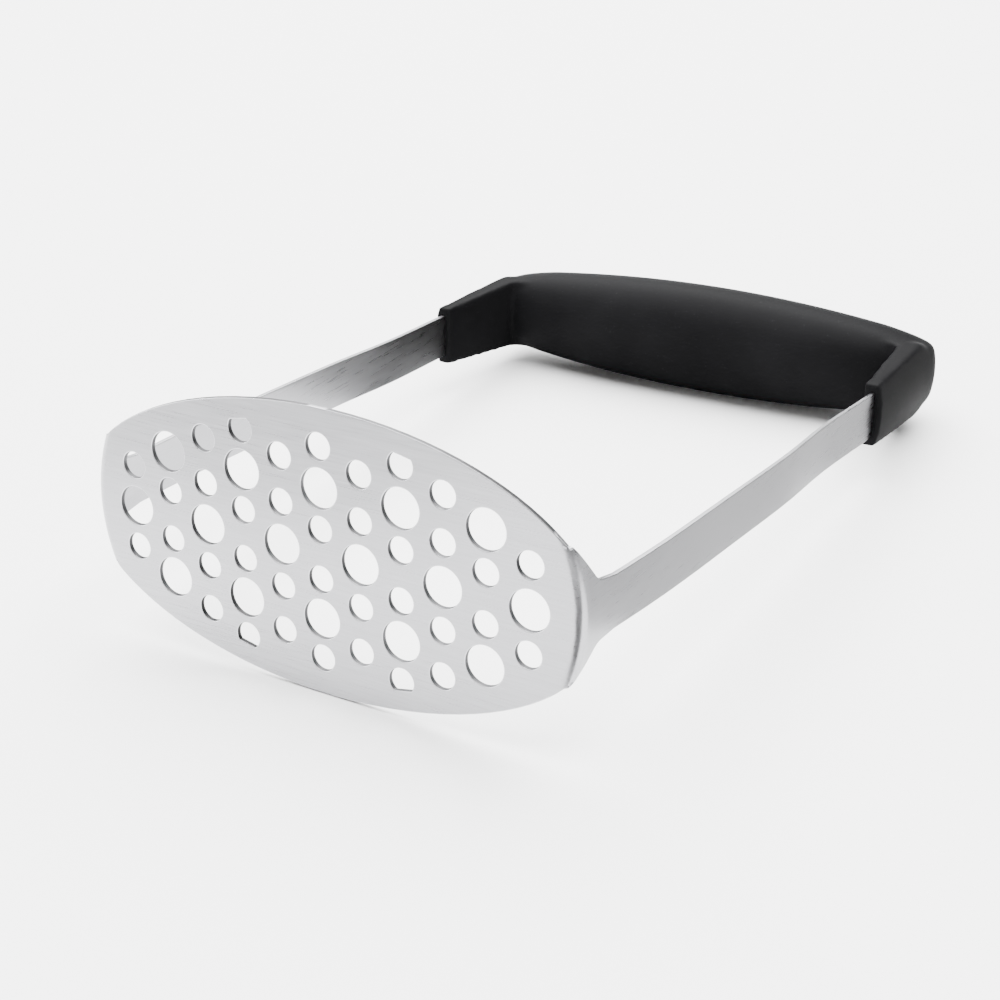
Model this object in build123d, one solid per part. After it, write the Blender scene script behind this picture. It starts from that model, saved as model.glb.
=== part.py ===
from build123d import *
import math
import os

# Potato masher, rigid, lying on its side.
# Design frame: X along the handle, Y from the mashing plate to the handle,
# Z along the short side of the plate. Millimetres.

# Mashing plate
SHEET = 1.2
PLATE_HALF_X = 65.4
PLATE_HALF_Z = 32.2
END_HALF_Z = 15.0
PITCH = 10.0
BIG_R = 4.5
SMALL_R = 3.0
CLIP_OFFSET = 2.1

# Bend between the plate and each arm
BEND_X = 61.7
BEND_AXIS_X = 21.7
BEND_OUTER_R = 2.4
BEND_INNER_R = 1.2
BEND_LEAN = 0.35
BEND_TOP_Y = 7.0
BEND_SWEEP_DEG = 60.0
ARM_BLANK_HALF = 19.0
SLAB_HALF_Z = 33.0

# Arms: depth Y, outer face x, and how much the section bows across its width
ARM_STATIONS = [
    (7.0, 62.05, 1.0),
    (14.0, 62.5, 0.8),
    (24.0, 63.1, 0.45),
    (38.0, 63.7, 0.15),
    (60.0, 64.25, 0.03),
    (100.0, 65.0, 0.01),
    (148.0, 65.9, 0.01),
    (160.0, 65.8, 0.01),
    (172.0, 64.8, 0.01),
    (184.0, 63.1, 0.01),
    (193.0, 61.8, 0.01),
]
ARM_HALF_Z = 6.1
SHOULDER_START = SHEET
SHOULDER_END = 6.9
TANG_HOLE_R = 2.5
TANG_HOLE_Y = 188.0

# Handle: half height, front and back depth at the middle, and how they change
GRIP_HALF_Z = 15.1
GRIP_FRONT_Y = 175.0
GRIP_BACK_Y = 203.2
GRIP_LOFT_X = 68.4
GRIP_LOFT_STEPS = 8
OVAL_POWER = 2.4
FRONT_POWER_RISE = 1.8
BACK_POWER_DROP = 0.4
OVAL_POINTS = 24
CORE_INSET = 3.0
CORE_END_X = 63.5
# End caps: barrel-shaped across Z, with a rounded back corner
HANDLE_END_X = 68.0
HANDLE_END_R = 30.0
HANDLE_CORNER_R = 10.0
HANDLE_BACK_Y = 200.2
HANDLE_BACK_RISE = 4.0
# Boots: sleeves that run down over the arms
BOOT_FRONT_Y = 148.2
BOOT_FRONT_X = 63.05
BOOT_WEB_X = 60.3
BOOT_WEB_Y = 180.5
BOOT_WEB_R = 2.5
BOOT_BACK_Y = 191.0
BOOT_BACK_R = 7.0
BOOT_BLANK_X = 72.0
BOOT_FRONT_HALF = 8.3
BOOT_BACK_HALF = 10.7

# Lying pose: tilt about X that lets the plate rim and the grip share one floor
LIE_DEG = 5.2


def hole_centres():
    """Centres of the big, small and clipped holes, from the lattice rule."""
    big = []
    small = []
    clipped = []
    for k in range(-5, 6):
        x = k * PITCH
        if k % 2:
            big.append((x, 0.0))
            small += [(x, 9.6), (x, -9.6)]
            if abs(k) <= 3:
                small += [(x, 19.8), (x, -19.8)]
            continue
        big += [(x, 14.7), (x, -14.7)]
        small += [(x, 5.6), (x, -5.6)]
        if k == 0:
            small += [(x, 23.8), (x, -23.8)]
        if abs(k) == 2:
            clipped += [(x, 23.8), (x, -23.8)]
    return big, small, clipped


def clipped_hole(x, z):
    """Round hole cut off by a chord that follows the plate's rim."""
    slope = -(x / PLATE_HALF_X ** 2) / (z / PLATE_HALF_Z ** 2)
    angle = math.degrees(math.atan(slope))
    side = 1 if z > 0 else -1
    body = Circle(SMALL_R)
    keep = Pos(0, side * (CLIP_OFFSET - 10)) * Rectangle(20, 20)
    return Pos(x, z) * (body & (Rot(0, 0, angle) * keep))


def plan_outline():
    """Rim of the plate with the two ends where the arms turn up."""
    lobe = Pos(61, 0) * Rectangle(16, 2 * END_HALF_Z)
    return Ellipse(PLATE_HALF_X, PLATE_HALF_Z) + lobe + mirror(lobe, Plane.YZ)


def along_y(sketch, y0, y1):
    """Extrude a sketch drawn as (X, Z) from depth y0 to depth y1."""
    plane = Plane((0, y0, 0), x_dir=(1, 0, 0), z_dir=(0, -1, 0))
    return extrude(plane * sketch, amount=-(y1 - y0))


def along_z(sketch, half):
    """Extrude a sketch drawn as (X, Y) to both sides of the middle."""
    return extrude(Plane.XY * sketch, amount=half, both=True)


def plate_slab():
    """Flat sheet that stops where the two rounded bends begin."""
    r = BEND_X - BEND_OUTER_R - BEND_AXIS_X - 0.1
    h = SLAB_HALF_Z
    tip = BEND_AXIS_X + r
    edge = BEND_AXIS_X + math.sqrt(r ** 2 - h ** 2)
    right = ThreePointArc((edge, -h), (tip, 0), (edge, h))
    left = ThreePointArc((-edge, h), (-tip, 0), (-edge, -h))
    top = Line((edge, h), (-edge, h))
    low = Line((-edge, -h), (edge, -h))
    tongue = make_face(Curve() + [right, top, left, low])
    return along_y(tongue, 0, SHEET)


def bend_body():
    """Right-hand bend: a rounded angle turned about the bend's own axis."""
    lean = BEND_X + BEND_LEAN
    pts = [
        (BEND_X - 18, 0),
        (BEND_X, 0),
        (lean, BEND_TOP_Y),
        (lean - SHEET, BEND_TOP_Y),
        (BEND_X - SHEET, SHEET),
        (BEND_X - 18, SHEET),
    ]
    face = make_face(Polyline(*pts, close=True))
    outer = [v for v in face.vertices() if abs(v.X - BEND_X) < 0.01 and v.Y < 0.01]
    face = fillet(outer, BEND_OUTER_R)
    inner = [v for v in face.vertices() if abs(v.X - BEND_X + SHEET) < 0.01]
    face = fillet(inner, BEND_INNER_R)
    axis = Axis((BEND_AXIS_X, 0, 0), (0, 1, 0))
    half = revolve(face, axis, BEND_SWEEP_DEG / 2)
    return half + mirror(half, Plane.XY)


def bowed(x, bow, h):
    """Three points of one bowed face line, bow 1 matching the bend."""
    r = x - BEND_AXIS_X
    sag = bow * (r - math.sqrt(r ** 2 - h ** 2))
    return (x - sag, -h), (x, 0), (x - sag, h)


def arm_section(y, x_out, bow):
    """One thin curved cross-section of the right arm."""
    o = bowed(x_out, bow, ARM_BLANK_HALF)
    i = bowed(x_out - SHEET, bow, ARM_BLANK_HALF)
    outer = ThreePointArc(*o)
    inner = ThreePointArc(i[2], i[1], i[0])
    top = Line(o[2], i[2])
    low = Line(i[0], o[0])
    face = make_face(Curve() + [outer, top, inner, low])
    plane = Plane((0, y, 0), x_dir=(1, 0, 0), z_dir=(0, -1, 0))
    return plane * face


def arm_blank():
    """Right arm before its outline is cut."""
    return loft([arm_section(*s) for s in ARM_STATIONS])


def shoulder_cutter():
    """Waste beside the arm, drawn as (Y, Z) and run through both arms."""
    pts = [
        (SHOULDER_START, END_HALF_Z),
        (SHOULDER_END, ARM_HALF_Z + 0.6),
        (SHOULDER_END + 6, ARM_HALF_Z - 0.2),
        (50, ARM_HALF_Z),
        (260, ARM_HALF_Z),
        (260, 40),
        (SHOULDER_START, 40),
    ]
    wire = Polyline(*pts, close=True)
    face = make_face(wire)
    corner = [v for v in face.vertices() if abs(v.X - SHOULDER_END) < 0.01]
    face = fillet(corner, 3.5)
    start = [v for v in face.vertices() if v.X < SHOULDER_START + 0.01 and v.Y < 20]
    face = fillet(start, 1.5)
    plane = Plane((0, 0, 0), x_dir=(0, 1, 0), z_dir=(1, 0, 0))
    upper = extrude(plane * face, amount=90, both=True)
    return upper + mirror(upper, Plane.XY)


def masher_blade():
    """Plate, bends, shoulders and arms: one pressed stainless sheet."""
    arm = arm_blank()
    arm = arm + bend_body()
    sheet = plate_slab() + arm + mirror(arm, Plane.YZ)
    plate_zone = along_y(plan_outline(), -1, 5)
    arm_zone = Pos(0, 155, 0) * Box(160, 300, 60)
    blade = sheet & (plate_zone + arm_zone)
    blade -= shoulder_cutter()
    big, small, clipped = hole_centres()
    cuts = Sketch() + [Pos(*p) * Circle(BIG_R) for p in big]
    cuts += [Pos(*p) * Circle(SMALL_R) for p in small]
    cuts += [clipped_hole(*p) for p in clipped]
    blade -= along_y(cuts, -2, 3)
    tang_hole = Pos(0, TANG_HOLE_Y, 0) * Rot(0, 90, 0) * Cylinder(TANG_HOLE_R, 160)
    blade -= tang_hole
    return blade


def oval_section(x, inset):
    """Squarish oval in the plane across the handle at one place along it."""
    front = GRIP_FRONT_Y + 4.6 * (abs(x) / 60) ** 3.7
    back = GRIP_BACK_Y - 0.0009 * x ** 2
    hz = GRIP_HALF_Z - 0.00112 * x ** 2 - 2.4 * (x / GRIP_LOFT_X) ** 12
    towards_end = (x / GRIP_LOFT_X) ** 6
    front_power = OVAL_POWER + FRONT_POWER_RISE * towards_end
    back_power = OVAL_POWER - BACK_POWER_DROP * towards_end
    a = (back - front) / 2 - inset
    b = hz - inset
    pts = []
    for i in range(OVAL_POINTS):
        t = 2 * math.pi * i / OVAL_POINTS
        c = math.cos(t)
        s = math.sin(t)
        power = back_power if c > 0 else front_power
        y = a * math.copysign(abs(c) ** (2 / power), c)
        z = b * math.copysign(abs(s) ** (2 / power), s)
        pts.append((y, z))
    face = make_face(Spline(*pts, periodic=True))
    plane = Plane((x, (front + back) / 2, 0), x_dir=(0, 1, 0), z_dir=(1, 0, 0))
    return plane * face


def spindle(inset, x_end):
    """Swelling bar with oval sections, mirrored about the middle."""
    steps = range(-GRIP_LOFT_STEPS, GRIP_LOFT_STEPS + 1)
    places = [GRIP_LOFT_X * i / GRIP_LOFT_STEPS for i in steps]
    bar = loft([oval_section(x, inset) for x in places])
    return bar & Box(2 * x_end, 1000, 100)


def boot():
    """Right-hand sleeve blank that runs down over the arm."""
    side = [
        (BOOT_FRONT_X, BOOT_FRONT_Y),
        (BOOT_WEB_X, BOOT_WEB_Y),
        (BOOT_WEB_X - 11, BOOT_WEB_Y + 3),
        (BOOT_WEB_X - 11, BOOT_BACK_Y),
        (BOOT_BLANK_X, BOOT_BACK_Y),
        (BOOT_BLANK_X, BOOT_FRONT_Y),
    ]
    face = make_face(Polyline(*side, close=True))
    web = [v for v in face.vertices() if abs(v.Y - BOOT_WEB_Y) < 0.01]
    blank = along_z(fillet(web, BOOT_WEB_R), 20)
    taper = [
        (BOOT_FRONT_Y, -BOOT_FRONT_HALF),
        (BOOT_BACK_Y, -BOOT_BACK_HALF),
        (BOOT_BACK_Y, BOOT_BACK_HALF),
        (BOOT_FRONT_Y, BOOT_FRONT_HALF),
    ]
    plane = Plane((0, 0, 0), x_dir=(0, 1, 0), z_dir=(1, 0, 0))
    outline = make_face(Polyline(*taper, close=True))
    back = [v for v in outline.vertices() if abs(v.X - BOOT_BACK_Y) < 0.01]
    wedge = extrude(plane * fillet(back, BOOT_BACK_R), amount=90)
    return blank & wedge


def end_envelope():
    """Everything between the two barrel-shaped end caps."""
    r = HANDLE_END_R
    axis_x = HANDLE_END_X - r
    low = 120.0
    pts = [
        (axis_x, low),
        (HANDLE_END_X, low),
        (HANDLE_END_X, HANDLE_BACK_Y),
        (axis_x, HANDLE_BACK_Y + HANDLE_BACK_RISE),
    ]
    outline = make_face(Polyline(*pts, close=True))
    corner = [v for v in outline.vertices() if v.X > axis_x + 1 and v.Y > low + 1]
    profile = fillet(corner, HANDLE_CORNER_R)
    axis = Axis((axis_x, 0, 0), (0, 1, 0))
    cap = revolve(profile, axis, 360)
    top = HANDLE_BACK_Y + HANDLE_BACK_RISE
    middle = Pos(0, (low + top) / 2, 0) * Box(2 * axis_x, top - low, 80)
    return cap + mirror(cap, Plane.YZ) + middle


def handle_core():
    """Rigid bar inside the grip that the arm ends are moulded into."""
    return spindle(CORE_INSET, CORE_END_X)


def grip_body():
    """Outside shape of the soft grip with its two boots, still solid."""
    b = boot()
    body = spindle(0, HANDLE_END_X + 0.3) + b + mirror(b, Plane.YZ)
    body = body & end_envelope()
    return body


def lie_down(shape, drop):
    """Turn a shape from the design frame into the lying row frame."""
    return Pos(*drop) * (Rot(-LIE_DEG, 0, 0) * shape)


def main():
    os.makedirs("parts", exist_ok=True)
    blade = masher_blade()
    core_bar = handle_core()
    core = core_bar - blade
    cover = grip_body() - core_bar - blade
    posed = [Rot(-LIE_DEG, 0, 0) * s for s in (blade, core, cover)]
    box = Compound(children=[Compound([p]) for p in posed]).bounding_box()
    drop = (-box.center().X, -box.center().Y, -box.min.Z)
    names = ["masher_blade", "handle_core", "soft_grip"]
    for name, shape in zip(names, (blade, core, cover)):
        export_step(lie_down(shape, drop), f"parts/{name}.step")
    face = lie_down(Pos(0, 0, 0) * Vertex(0, 0, 0), drop)
    print("plate centre", face.center(), "drop", drop)


if __name__ == "__main__":
    main()
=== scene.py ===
import math

import bmesh
import bpy
import numpy as np
from mathutils import Matrix, Vector
from mathutils.bvhtree import BVHTree


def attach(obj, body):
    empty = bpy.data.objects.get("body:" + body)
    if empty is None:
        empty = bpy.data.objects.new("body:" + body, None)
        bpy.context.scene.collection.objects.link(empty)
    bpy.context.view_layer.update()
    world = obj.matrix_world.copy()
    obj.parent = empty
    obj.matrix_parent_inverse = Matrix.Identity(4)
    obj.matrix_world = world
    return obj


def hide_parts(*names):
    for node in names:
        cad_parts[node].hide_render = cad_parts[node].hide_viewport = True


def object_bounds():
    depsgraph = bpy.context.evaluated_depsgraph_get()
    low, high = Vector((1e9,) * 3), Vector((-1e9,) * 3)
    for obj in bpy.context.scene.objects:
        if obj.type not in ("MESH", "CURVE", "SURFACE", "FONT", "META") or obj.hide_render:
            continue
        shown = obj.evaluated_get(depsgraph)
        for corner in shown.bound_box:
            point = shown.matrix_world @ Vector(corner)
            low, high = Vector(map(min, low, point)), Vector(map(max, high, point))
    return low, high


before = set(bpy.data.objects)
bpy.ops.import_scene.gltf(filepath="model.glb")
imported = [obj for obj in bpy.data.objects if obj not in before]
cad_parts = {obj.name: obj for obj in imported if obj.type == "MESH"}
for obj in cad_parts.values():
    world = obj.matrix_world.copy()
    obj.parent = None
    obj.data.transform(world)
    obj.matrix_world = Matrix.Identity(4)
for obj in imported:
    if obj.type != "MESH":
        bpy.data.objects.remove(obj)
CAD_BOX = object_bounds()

bl_info = {
    "name": "Potato masher looks",
    "version": (1, 0, 0),
    "blender": (4, 5, 0),
    "location": "View3D > Sidebar > Masher",
    "description": "Brushed steel plate and arms, soft grip and studio for a potato masher",
    "category": "Object",
}

BLADE = "masher_blade"
CORE = "handle_core"
GRIP = "soft_grip"

# The masher lies with its plate leaning back by this angle; metres from here on
LEAN = math.radians(5.2)
PLATE_FACING = (0.0, -math.cos(LEAN), math.sin(LEAN))
PLATE_UP = (0.0, math.sin(LEAN), math.cos(LEAN))
# Outer face and middle of the plate, measured along those two directions
PLATE_OFFSET = 0.10232
PLATE_RISE = 0.02312
# Each bend turns about an axis at this x; inside the radius the plate is flat
BEND_CENTRE = 0.0217
BEND_RADIUS = 0.0380
BEND_BLUR = (0.0006, 0.0002)
# Heights over the plate's outer face where the arm's grain and painted shade and the hole walls change
ARM_HEIGHTS = (0.0012, 0.0035)
WALL_HEIGHTS = (0.0013, 0.0015)

# Tones as shares of the steel colour; the arms, hole walls and hole edges carry painted light
PLATE_TONES = (0.85, 1.10)
# The arms are painted darker than the plate: painted shade on top of their grain
ARM_GRAIN_AND_SHADE_TONES = (0.72, 0.86)
HANDLED_TONE = 0.97
# Painted shade on the sheared hole walls
WALL_PAINTED_SHADE = 0.04
# Painted highlight on the holes' rolled front edges
RIM_PAINTED_HIGHLIGHT = 1.7

# Gaps that are welded when a CAD mesh is taken over
WELD_SHEET = 2e-5
WELD_SKIN = 1e-6
# Cosine above which a face counts as level with the plate, and the angle that is still flat
LEVEL = 0.99999
DISSOLVE_ANGLE = math.radians(0.3)
# Edges sharper than this are rounded; vertices may stray by this share of the round's width
CUT_EDGE_ANGLE = math.radians(35)
STRAY = 0.6

# Where the grip's skin is relaxed: distances from its back, and distances from the middle
CORNER_DEPTHS = (0.026, 0.010)
CORNER_WIDTHS = (0.050, 0.058)
BAR_WIDTHS = (0.045, 0.055)

FLOOR_HALF = 4.0
WORLD_STRENGTH = 0.35
CARD_HEIGHT = 0.001


# ---------------------------------------------------------------- settings


class SteelSettings(bpy.types.PropertyGroup):
    """Sizes and colours of the pressed stainless sheet."""

    colour: bpy.props.FloatVectorProperty(
        name="Steel colour",
        description="Base colour of the stainless sheet",
        subtype="COLOR",
        size=3,
        min=0,
        max=1,
        default=(0.39, 0.39, 0.405),
    )
    roughness: bpy.props.FloatProperty(
        name="Steel roughness",
        description="Middle value of the brushed finish",
        default=0.30,
        min=0,
        max=1,
        subtype="FACTOR",
    )
    edge_round: bpy.props.FloatProperty(
        name="Edge round",
        description="Width of the rounding that pressing leaves on cut edges",
        default=0.00024,
        min=0,
        unit="LENGTH",
    )
    grain_depth: bpy.props.FloatProperty(
        name="Grain depth",
        description="Depth of the brushed lines",
        default=0.00002,
        min=0,
        unit="LENGTH",
    )


class GripSettings(bpy.types.PropertyGroup):
    """Sizes and colours of the soft grip."""

    colour: bpy.props.FloatVectorProperty(
        name="Grip colour",
        description="Base colour of the soft rubber",
        subtype="COLOR",
        size=3,
        min=0,
        max=1,
        default=(0.0054, 0.0054, 0.0058),
    )
    roughness: bpy.props.FloatProperty(
        name="Grip roughness",
        description="Middle value of the satin skin",
        default=0.47,
        min=0,
        max=1,
        subtype="FACTOR",
    )
    net: bpy.props.FloatProperty(
        name="Skin net",
        description="Size of the squares in the grip's skin",
        default=0.0006,
        min=0.0002,
        unit="LENGTH",
    )
    crease_rounds: bpy.props.IntProperty(
        name="Crease softness",
        description="How often every edge of the skin is relaxed",
        default=4,
        min=0,
    )
    corner_rounds: bpy.props.IntProperty(
        name="Corner softness",
        description="How often the corners at the back of the handle are relaxed",
        default=32,
        min=0,
    )
    grain_depth: bpy.props.FloatProperty(
        name="Skin grain depth",
        description="Depth of the fine moulded texture",
        default=0.000025,
        min=0,
        unit="LENGTH",
    )


class StageSettings(bpy.types.PropertyGroup):
    """Camera, floor and lights."""

    floor_colour: bpy.props.FloatVectorProperty(
        name="Floor colour",
        description="Colour of the pale floor",
        subtype="COLOR",
        size=3,
        min=0,
        max=1,
        default=(0.86, 0.86, 0.86),
    )
    camera_place: bpy.props.FloatVectorProperty(
        name="Camera place",
        description="Where the camera stands",
        subtype="TRANSLATION",
        unit="LENGTH",
        size=3,
        default=(0.2007, -0.3510, 0.2006),
    )
    camera_heading: bpy.props.FloatProperty(
        name="Camera heading",
        description="Turn of the camera from straight ahead",
        default=math.radians(31.91),
        subtype="ANGLE",
        unit="ROTATION",
    )
    camera_pitch: bpy.props.FloatProperty(
        name="Camera pitch",
        description="How far the camera looks down",
        default=math.radians(26.21),
        subtype="ANGLE",
        unit="ROTATION",
    )
    camera_roll: bpy.props.FloatProperty(
        name="Camera roll",
        description="Lean of the camera about its own axis",
        default=math.radians(-2.14),
        subtype="ANGLE",
        unit="ROTATION",
    )
    lens: bpy.props.FloatProperty(
        name="Lens",
        description="Focal length on a 36 mm sensor",
        default=62.8,
        min=10,
        unit="CAMERA",
    )


# ------------------------------------------------------------ shader groups


def new_group(name, inputs, outputs):
    """Empty shader node group with named sockets, its in node and out node."""
    group = bpy.data.node_groups.new(name, "ShaderNodeTree")
    for label, kind, value in inputs:
        sock = group.interface.new_socket(label, in_out="INPUT", socket_type=kind)
        if value is not None:
            sock.default_value = value
    for label, kind in outputs:
        group.interface.new_socket(label, in_out="OUTPUT", socket_type=kind)
    start = group.nodes.new("NodeGroupInput")
    end = group.nodes.new("NodeGroupOutput")
    return group, start, end


def add(tree, kind, **values):
    """Add a node, set its properties, then its sockets by name."""
    node = tree.nodes.new(kind)
    for key, value in values.items():
        if hasattr(node, key):
            setattr(node, key, value)
        else:
            node.inputs[key.replace("_", " ")].default_value = value
    return node


def math_node(tree, operation, a, b=None, clamp=False):
    """A Math node whose inputs are sockets or numbers."""
    node = tree.nodes.new("ShaderNodeMath")
    node.operation = operation
    node.use_clamp = clamp
    for i, value in enumerate((a, b)):
        if value is None:
            continue
        if isinstance(value, (int, float)):
            node.inputs[i].default_value = value
        else:
            tree.links.new(value, node.inputs[i])
    return node.outputs[0]


def remap(tree, value, low, high, to_low, to_high):
    """Clamped linear change of range."""
    node = tree.nodes.new("ShaderNodeMapRange")
    node.clamp = True
    for i, v in enumerate((low, high, to_low, to_high)):
        node.inputs[i + 1].default_value = v
    tree.links.new(value, node.inputs[0])
    return node.outputs[0]


def streaks_group():
    """Brushed lines: fine and coarse noise pulled out along one direction."""
    group, start, end = new_group(
        "Brushed lines",
        [("Stretch", "NodeSocketVector", (20.0, 1600.0, 1600.0)), ("Seed", "NodeSocketFloat", 0.0)],
        [("Fine", "NodeSocketFloat"), ("Broad", "NodeSocketFloat")],
    )
    coords = add(group, "ShaderNodeTexCoord")
    scale = add(group, "ShaderNodeVectorMath", operation="MULTIPLY")
    group.links.new(coords.outputs["Object"], scale.inputs[0])
    group.links.new(start.outputs["Stretch"], scale.inputs[1])
    shift = add(group, "ShaderNodeVectorMath", operation="ADD")
    group.links.new(scale.outputs[0], shift.inputs[0])
    group.links.new(start.outputs["Seed"], shift.inputs[1])
    fine = add(group, "ShaderNodeTexNoise", Scale=1.0, Detail=3.0, Roughness=0.65)
    broad = add(group, "ShaderNodeTexNoise", Scale=0.22, Detail=2.0, Roughness=0.5)
    for noise, label in ((fine, "Fine"), (broad, "Broad")):
        group.links.new(shift.outputs[0], noise.inputs["Vector"])
        group.links.new(noise.outputs["Fac"], end.inputs[label])
    return group


def mottle_group():
    """Soft uneven patches, as handling leaves on any finish."""
    group, start, end = new_group(
        "Handling marks",
        [("Scale", "NodeSocketFloat", 40.0)],
        [("Patches", "NodeSocketFloat"), ("Specks", "NodeSocketFloat")],
    )
    coords = add(group, "ShaderNodeTexCoord")
    patches = add(group, "ShaderNodeTexNoise", Detail=4.0, Roughness=0.55)
    group.links.new(start.outputs["Scale"], patches.inputs["Scale"])
    group.links.new(coords.outputs["Object"], patches.inputs["Vector"])
    specks = add(group, "ShaderNodeTexNoise", Detail=1.0, Roughness=0.5)
    times = math_node(group, "MULTIPLY", start.outputs["Scale"], 45.0)
    group.links.new(times, specks.inputs["Scale"])
    group.links.new(coords.outputs["Object"], specks.inputs["Vector"])
    sharp = remap(group, specks.outputs["Fac"], 0.70, 0.78, 0.0, 1.0)
    group.links.new(patches.outputs["Fac"], end.inputs["Patches"])
    group.links.new(sharp, end.inputs["Specks"])
    return group


GROUPS = {}


def shared_group(key):
    """The shared node groups, each built once."""
    makers = {"streaks": streaks_group, "mottle": mottle_group}
    if key not in GROUPS:
        GROUPS[key] = makers[key]()
    return GROUPS[key]


def group_node(tree, key, **values):
    """Place a shared group in a material with its own values."""
    node = tree.nodes.new("ShaderNodeGroup")
    node.node_tree = shared_group(key)
    for name, value in values.items():
        node.inputs[name].default_value = value
    return node


# --------------------------------------------------------------- materials


def new_material(name):
    """Material with a Principled BSDF and nothing else."""
    mat = bpy.data.materials.new(name)
    mat.use_nodes = True
    tree = mat.node_tree
    return mat, tree, tree.nodes["Principled BSDF"]


def mix_colour(tree, factor, a, b):
    """Mix two colours, each a tuple or a socket, by a factor socket."""
    node = tree.nodes.new("ShaderNodeMix")
    node.data_type = "RGBA"
    tree.links.new(factor, node.inputs[0])
    for i, value in ((6, a), (7, b)):
        if isinstance(value, tuple):
            node.inputs[i].default_value = value
        else:
            tree.links.new(value, node.inputs[i])
    return node.outputs[2]


def shade(colour, factor):
    """A colour made lighter or darker, with alpha."""
    return tuple(min(1.0, c * factor) for c in colour) + (1.0,)


def reach_along(tree, vector, direction):
    """How far a vector reaches in one direction."""
    node = add(tree, "ShaderNodeVectorMath", operation="DOT_PRODUCT")
    tree.links.new(vector, node.inputs[0])
    node.inputs[1].default_value = direction
    return node.outputs["Value"]


def height_over_plate(tree, place):
    """Height over the plate's outer face, towards the handle, in metres."""
    depth = reach_along(tree, place.outputs["Position"], PLATE_FACING)
    return math_node(tree, "SUBTRACT", PLATE_OFFSET, depth)


def inside_bends(tree, place):
    """Mask of the flat plate between the two curved bends."""
    sideways = reach_along(tree, place.outputs["Position"], (1.0, 0.0, 0.0))
    across = math_node(tree, "ABSOLUTE", sideways)
    rise = reach_along(tree, place.outputs["Position"], PLATE_UP)
    flat = tree.nodes.new("ShaderNodeCombineXYZ")
    tree.links.new(math_node(tree, "SUBTRACT", across, BEND_CENTRE), flat.inputs[0])
    tree.links.new(math_node(tree, "SUBTRACT", rise, PLATE_RISE), flat.inputs[1])
    reach = add(tree, "ShaderNodeVectorMath", operation="LENGTH")
    tree.links.new(flat.outputs[0], reach.inputs[0])
    low, high = (BEND_RADIUS - blur for blur in BEND_BLUR)
    return remap(tree, reach.outputs["Value"], low, high, 1.0, 0.0)


def punched_walls(tree, place, height):
    """Masks of the sheared sides of the holes and of their rolled front edges, for painted shade and a
    painted highlight.
    """
    facing = reach_along(tree, place.outputs["Normal"], PLATE_FACING)
    front = remap(tree, facing, 0.45, 0.75, 1.0, 0.0)
    rear = remap(tree, facing, -0.98, -0.85, 0.0, 1.0)
    edge = math_node(tree, "MULTIPLY", front, rear)
    near = inside_bends(tree, place)
    low = remap(tree, height, *WALL_HEIGHTS, 1.0, 0.0)
    wall = math_node(tree, "MULTIPLY", math_node(tree, "MULTIPLY", edge, near), low)
    outer = remap(tree, facing, 0.70, 0.82, 0.0, 1.0)
    inner = remap(tree, facing, 0.975, 0.998, 1.0, 0.0)
    rim_highlight = math_node(tree, "MULTIPLY", math_node(tree, "MULTIPLY", outer, inner), near)
    return wall, rim_highlight


def steel_material(s):
    """Fine brushed stainless: lines along X on the plate, along Y on the arms; painted shade and
    highlight.
    """
    mat, tree, bsdf = new_material("Brushed stainless sheet")
    bsdf.inputs["Metallic"].default_value = 1.0
    plate_lines = group_node(tree, "streaks", Stretch=(70.0, 2400.0, 2400.0), Seed=3.0)
    arm_lines = group_node(tree, "streaks", Stretch=(2400.0, 70.0, 2400.0), Seed=11.0)
    marks = group_node(tree, "mottle", Scale=22.0)
    place = add(tree, "ShaderNodeNewGeometry")
    height = height_over_plate(tree, place)
    on_arm = remap(tree, height, *ARM_HEIGHTS, 0.0, 1.0)

    def blend(label):
        node = tree.nodes.new("ShaderNodeMix")
        node.data_type = "FLOAT"
        tree.links.new(on_arm, node.inputs[0])
        tree.links.new(plate_lines.outputs[label], node.inputs[2])
        tree.links.new(arm_lines.outputs[label], node.inputs[3])
        return node.outputs[0]

    fine = blend("Fine")
    broad = blend("Broad")
    mostly = math_node(tree, "MULTIPLY", fine, 0.8)
    partly = math_node(tree, "MULTIPLY", broad, 0.2)
    lines = math_node(tree, "ADD", mostly, partly)
    tone = remap(tree, lines, 0.32, 0.68, 0.0, 1.0)
    plate = mix_colour(tree, tone, *(shade(s.colour, t) for t in PLATE_TONES))
    # Arm colour: grain plus painted shade that makes the arms darker than the plate
    arms = mix_colour(tree, tone, *(shade(s.colour, t) for t in ARM_GRAIN_AND_SHADE_TONES))
    colour = mix_colour(tree, on_arm, plate, arms)
    wall, rim_highlight = punched_walls(tree, place, height)
    # Painted highlight: the holes' rolled front edges made lighter
    colour = mix_colour(tree, rim_highlight, colour, shade(s.colour, RIM_PAINTED_HIGHLIGHT))
    # Painted shade: the sheared hole walls made near black
    colour = mix_colour(tree, wall, colour, shade(s.colour, WALL_PAINTED_SHADE))
    soft = remap(tree, marks.outputs["Patches"], 0.35, 0.7, 0.0, 1.0)
    handled = math_node(tree, "MULTIPLY", soft, 0.35)
    colour = mix_colour(tree, handled, colour, shade(s.colour, HANDLED_TONE))
    tree.links.new(colour, bsdf.inputs["Base Color"])
    rough = remap(tree, lines, 0.3, 0.7, s.roughness - 0.07, s.roughness + 0.08)
    rough = math_node(tree, "ADD", rough, remap(tree, marks.outputs["Patches"], 0.3, 0.7, -0.02, 0.04))
    rough = math_node(tree, "ADD", rough, math_node(tree, "MULTIPLY", wall, 0.25), clamp=True)
    tree.links.new(rough, bsdf.inputs["Roughness"])
    bump = add(tree, "ShaderNodeBump", Strength=0.07, Distance=s.grain_depth)
    tree.links.new(lines, bump.inputs["Height"])
    tree.links.new(bump.outputs[0], bsdf.inputs["Normal"])
    return mat


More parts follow.
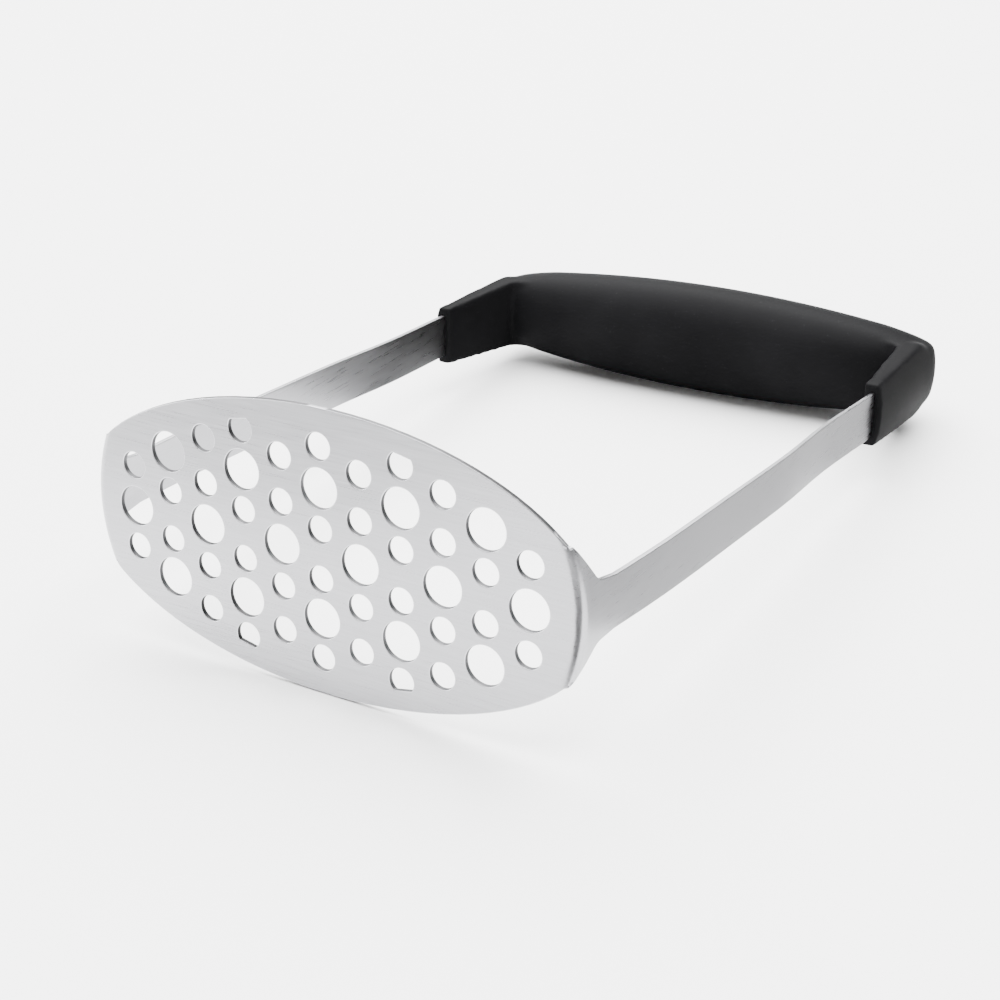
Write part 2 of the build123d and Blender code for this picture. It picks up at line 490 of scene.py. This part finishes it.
def rubber_material(s):
    """Near-black soft-touch rubber with a satin skin and a very fine grain."""
    mat, tree, bsdf = new_material("Soft black rubber")
    marks = group_node(tree, "mottle", Scale=28.0)
    soft = remap(tree, marks.outputs["Patches"], 0.3, 0.7, 0.0, 1.0)
    colour = mix_colour(tree, soft, shade(s.colour, 0.8), shade(s.colour, 1.35))
    dust = math_node(tree, "MULTIPLY", marks.outputs["Specks"], 0.35)
    colour = mix_colour(tree, dust, colour, shade(s.colour, 3.0))
    tree.links.new(colour, bsdf.inputs["Base Color"])
    rough = remap(tree, marks.outputs["Patches"], 0.3, 0.7, s.roughness - 0.04, s.roughness + 0.06)
    tree.links.new(rough, bsdf.inputs["Roughness"])
    bsdf.inputs["Specular IOR Level"].default_value = 0.012
    coords = add(tree, "ShaderNodeTexCoord")
    grain = add(tree, "ShaderNodeTexNoise", Scale=1700.0, Detail=2.0, Roughness=0.6)
    tree.links.new(coords.outputs["Object"], grain.inputs["Vector"])
    bump = add(tree, "ShaderNodeBump", Strength=0.5, Distance=s.grain_depth)
    tree.links.new(grain.outputs["Fac"], bump.inputs["Height"])
    tree.links.new(bump.outputs[0], bsdf.inputs["Normal"])
    return mat


def core_material():
    """Grey-black moulded plastic of the bar that the grip hides."""
    mat, tree, bsdf = new_material("Stiff moulded core")
    marks = group_node(tree, "mottle", Scale=60.0)
    soft = remap(tree, marks.outputs["Patches"], 0.3, 0.7, 0.0, 1.0)
    colour = mix_colour(tree, soft, (0.045, 0.045, 0.05, 1.0), (0.07, 0.07, 0.075, 1.0))
    tree.links.new(colour, bsdf.inputs["Base Color"])
    rough = remap(tree, marks.outputs["Patches"], 0.3, 0.7, 0.5, 0.62)
    tree.links.new(rough, bsdf.inputs["Roughness"])
    return mat


def floor_material(colour):
    """Plain pale floor with the faintest unevenness."""
    mat, tree, bsdf = new_material("Pale studio floor")
    marks = group_node(tree, "mottle", Scale=3.0)
    soft = remap(tree, marks.outputs["Patches"], 0.3, 0.7, 0.0, 1.0)
    tone = mix_colour(tree, soft, shade(colour, 0.99), shade(colour, 1.0))
    tree.links.new(tone, bsdf.inputs["Base Color"])
    bsdf.inputs["Roughness"].default_value = 0.6
    return mat


def put_material(obj, mat):
    """Give every slot of a CAD node the same material."""
    if not obj.material_slots:
        obj.data.materials.append(mat)
    for place in obj.material_slots:
        place.material = mat


def node_copy(node, merge):
    """The mesh of a CAD node as a bmesh whose split vertices are joined again."""
    bm = bmesh.new()
    bm.from_mesh(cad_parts[node].data)
    bmesh.ops.remove_doubles(bm, verts=bm.verts, dist=merge)
    bmesh.ops.dissolve_degenerate(bm, edges=bm.edges, dist=merge)
    return bm


def piece_from(bm, name, node):
    """Turn a bmesh into the piece that stands for a CAD node."""
    mesh = bpy.data.meshes.new(name)
    bm.to_mesh(mesh)
    bm.free()
    mesh.shade_smooth()
    obj = bpy.data.objects.new(name, mesh)
    bpy.context.collection.objects.link(obj)
    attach(obj, "root")
    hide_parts(node)
    return obj


def keep_close(bm, surface, reach):
    """Bring back any vertex that a crowded corner has pushed off a surface."""
    for v in bm.verts:
        near = surface.find_nearest(v.co)
        if near[3] > reach:
            v.co = near[0]


def sheet_with_worn_edges(width):
    """The pressed sheet with a small round on every cut edge."""
    bm = node_copy(BLADE, WELD_SHEET)
    facing = Vector(PLATE_FACING)
    flat = [f for f in bm.faces if abs(f.normal.dot(facing)) > LEVEL]
    level = set(flat)
    inside = [e for e in bm.edges if len(e.link_faces) == 2 and level.issuperset(e.link_faces)]
    bmesh.ops.dissolve_limit(bm, angle_limit=DISSOLVE_ANGLE, edges=inside, verts=[])
    surface = BVHTree.FromBMesh(bm)
    cut = [e for e in bm.edges if e.is_manifold and e.calc_face_angle() > CUT_EDGE_ANGLE]
    bmesh.ops.bevel(
        bm,
        geom=cut,
        offset=width,
        offset_type="OFFSET",
        segments=3,
        profile=0.5,
        affect="EDGES",
        clamp_overlap=False,
        loop_slide=False,
        material=-1,
    )
    keep_close(bm, surface, STRAY * width)
    return bm


def even_skin(node, voxel):
    """A node's surface as an even net of small squares."""
    bm = node_copy(node, WELD_SKIN)
    mesh = bpy.data.meshes.new("Skin source")
    bm.to_mesh(mesh)
    bm.free()
    source = bpy.data.objects.new("Skin source", mesh)
    bpy.context.collection.objects.link(source)
    mod = source.modifiers.new("Even net", "REMESH")
    mod.mode = "VOXEL"
    mod.voxel_size = voxel
    graph = bpy.context.evaluated_depsgraph_get()
    made = bpy.data.meshes.new_from_object(source.evaluated_get(graph))
    bpy.data.objects.remove(source)
    bpy.data.meshes.remove(mesh)
    return made


def relax(mesh, weight, rounds):
    """Let a skin settle: each vertex moves towards its neighbours' middle by its own weight."""
    count = len(mesh.vertices)
    co = np.empty(count * 3)
    mesh.vertices.foreach_get("co", co)
    co = co.reshape(-1, 3)
    ends = np.empty(len(mesh.edges) * 2, dtype=np.int64)
    mesh.edges.foreach_get("vertices", ends)
    a, b = ends.reshape(-1, 2).T
    near = np.bincount(np.concatenate((a, b)), minlength=count).astype(float)
    for step in range(rounds):
        share = weight(co, step)
        middle = np.empty_like(co)
        for axis in range(3):
            total = np.bincount(a, co[b, axis], count) + np.bincount(b, co[a, axis], count)
            middle[:, axis] = total / near
        co += (middle - co) * share[:, None]
    mesh.vertices.foreach_set("co", co.ravel())
    mesh.update()


def ramp(value, low, high):
    """Smooth step of an array from 0 at low to 1 at high."""
    t = np.clip((value - low) / (high - low), 0, 1)
    return t * t * (3 - 2 * t)


# --------------------------------------------------------------- operators


class MASHER_OT_blade(bpy.types.Operator):
    """Finish the perforated plate and its two arms as brushed stainless"""

    bl_idname = "masher.blade"
    bl_label = "Plate and arms"

    def execute(self, context):
        s = context.scene.masher_steel
        blade = piece_from(sheet_with_worn_edges(s.edge_round), "plate_and_arms", BLADE)
        put_material(blade, steel_material(s))
        flat = blade.modifiers.new("Flat faces stay flat", "WEIGHTED_NORMAL")
        flat.keep_sharp = False
        flat.weight = 80
        return {"FINISHED"}


class MASHER_OT_core(bpy.types.Operator):
    """Finish the stiff bar inside the grip"""

    bl_idname = "masher.core"
    bl_label = "Core"

    def execute(self, context):
        put_material(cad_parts[CORE], core_material())
        return {"FINISHED"}


class MASHER_OT_grip(bpy.types.Operator):
    """Finish the soft grip and its two boots"""

    bl_idname = "masher.grip"
    bl_label = "Soft grip"

    def execute(self, context):
        s = context.scene.masher_grip
        mesh = even_skin(GRIP, s.net)
        back = CAD_BOX[1][1]

        def softness(co, step):
            if step < s.crease_rounds:
                return np.full(len(co), 0.5)
            sideways = np.abs(co[:, 0])
            depth = ramp(co[:, 1], *(back - d for d in CORNER_DEPTHS))
            corner = depth * ramp(sideways, *CORNER_WIDTHS)
            bar = 1 - ramp(sideways, *BAR_WIDTHS)
            return 0.5 * np.maximum(corner, bar)

        relax(mesh, softness, s.corner_rounds)
        bm = bmesh.new()
        bm.from_mesh(mesh)
        grip = piece_from(bm, "grip_and_boots", GRIP)
        put_material(grip, rubber_material(s))
        return {"FINISHED"}


def add_light(name, place, aim, size, power, colour=(1.0, 1.0, 1.0)):
    """Square area light that faces a point."""
    data = bpy.data.lights.new(name, "AREA")
    data.shape = "RECTANGLE"
    data.size, data.size_y = size
    data.energy = power
    data.color = colour
    obj = bpy.data.objects.new(name, data)
    bpy.context.collection.objects.link(obj)
    obj.location = place
    direction = Vector(aim) - Vector(place)
    obj.rotation_euler = direction.to_track_quat("-Z", "Y").to_euler()
    return obj


def add_card(name, outline, tone):
    """Flat card that only mirror-like surfaces see, to give the steel something dark to reflect."""
    mesh = bpy.data.meshes.new(name)
    corners = [(x, y, CARD_HEIGHT) for x, y in outline]
    mesh.from_pydata(corners, [], [tuple(range(len(corners)))])
    obj = bpy.data.objects.new(name, mesh)
    bpy.context.collection.objects.link(obj)
    obj.data.materials.append(floor_material((tone, tone, tone)))
    obj.visible_camera = False
    obj.visible_diffuse = False
    obj.visible_shadow = False
    obj.visible_transmission = False
    return obj


class MASHER_OT_stage(bpy.types.Operator):
    """Set up the pale floor, the soft lights and the camera"""

    bl_idname = "masher.stage"
    bl_label = "Stage"

    def execute(self, context):
        s = context.scene.masher_stage
        mesh = bpy.data.meshes.new("Floor")
        half = FLOOR_HALF
        corners = [(-half, -half, 0), (half, -half, 0), (half, half, 0), (-half, half, 0)]
        mesh.from_pydata(corners, [], [(0, 1, 2, 3)])
        floor = bpy.data.objects.new("Floor", mesh)
        context.collection.objects.link(floor)
        floor.data.materials.append(floor_material(tuple(s.floor_colour)))

        world = bpy.data.worlds.new("Studio")
        world.use_nodes = True
        back = world.node_tree.nodes["Background"]
        back.inputs["Color"].default_value = (1.0, 1.0, 1.0, 1.0)
        back.inputs["Strength"].default_value = WORLD_STRENGTH
        context.scene.world = world

        add_light("Top", (-0.3, 0.5, 2.0), (0, 0.1, 0), (3.4, 3.4), 520.0)
        add_light("Left", (-1.5, -1.0, 0.5), (0, 0, 0.03), (1.0, 0.8), 20.0)
        add_light("Rim", (-1.2, 1.9, 1.1), (0, 0, 0.03), (1.4, 0.8), 25.0)

        # Dark cards seen only in the steel: painted reflections of shade under the handle, by the
        # bend, by the arm and in front
        gap = [(-0.056, 0.022), (0.02, 0.045), (0.05, 0.085), (-0.056, 0.085)]
        bend = [(0.068, -0.106), (0.078, -0.40), (0.42, -0.25)]
        side = [(0.075, -0.06), (0.60, -0.06), (0.60, 0.60), (0.075, 0.60)]
        front = [(-0.80, -0.20), (-0.06, -0.20), (-0.02, -0.9), (-0.80, -0.9)]
        add_card("Card under the handle", gap, 0.05)
        add_card("Card by the bend", bend, 0.02)
        add_card("Card by the arm", side, 0.28)
        add_card("Card in front", front, 0.45)

        cam = bpy.data.cameras.new("Camera")
        cam.sensor_width = 36.0
        cam.lens = s.lens
        cam.clip_start = 0.01
        eye = bpy.data.objects.new("Camera", cam)
        context.collection.objects.link(eye)
        turn = Matrix.Rotation(s.camera_heading, 4, "Z")
        tilt = Matrix.Rotation(math.pi / 2 - s.camera_pitch, 4, "X")
        roll = Matrix.Rotation(s.camera_roll, 4, "Z")
        eye.matrix_world = Matrix.Translation(s.camera_place) @ turn @ tilt @ roll
        context.scene.camera = eye
        return {"FINISHED"}


class MASHER_PT_panel(bpy.types.Panel):
    """Buttons for each piece of the masher"""

    bl_label = "Potato masher"
    bl_idname = "MASHER_PT_panel"
    bl_space_type = "VIEW_3D"
    bl_region_type = "UI"
    bl_category = "Masher"

    def draw(self, context):
        for name in OPERATORS:
            self.layout.operator(name)
        for group in ("masher_steel", "masher_grip", "masher_stage"):
            settings = getattr(context.scene, group)
            for key in settings.__annotations__:
                self.layout.prop(settings, key)


OPERATORS = ("masher.blade", "masher.core", "masher.grip", "masher.stage")
CLASSES = (
    SteelSettings,
    GripSettings,
    StageSettings,
    MASHER_OT_blade,
    MASHER_OT_core,
    MASHER_OT_grip,
    MASHER_OT_stage,
    MASHER_PT_panel,
)


def register():
    for cls in CLASSES:
        bpy.utils.register_class(cls)
    scene = bpy.types.Scene
    scene.masher_steel = bpy.props.PointerProperty(type=SteelSettings)
    scene.masher_grip = bpy.props.PointerProperty(type=GripSettings)
    scene.masher_stage = bpy.props.PointerProperty(type=StageSettings)


def unregister():
    scene = bpy.types.Scene
    del scene.masher_steel, scene.masher_grip, scene.masher_stage
    for cls in reversed(CLASSES):
        bpy.utils.unregister_class(cls)


def main():
    register()
    for name in OPERATORS:
        space, call = name.split(".")
        getattr(getattr(bpy.ops, space), call)()


if __name__ == "__main__":
    main()
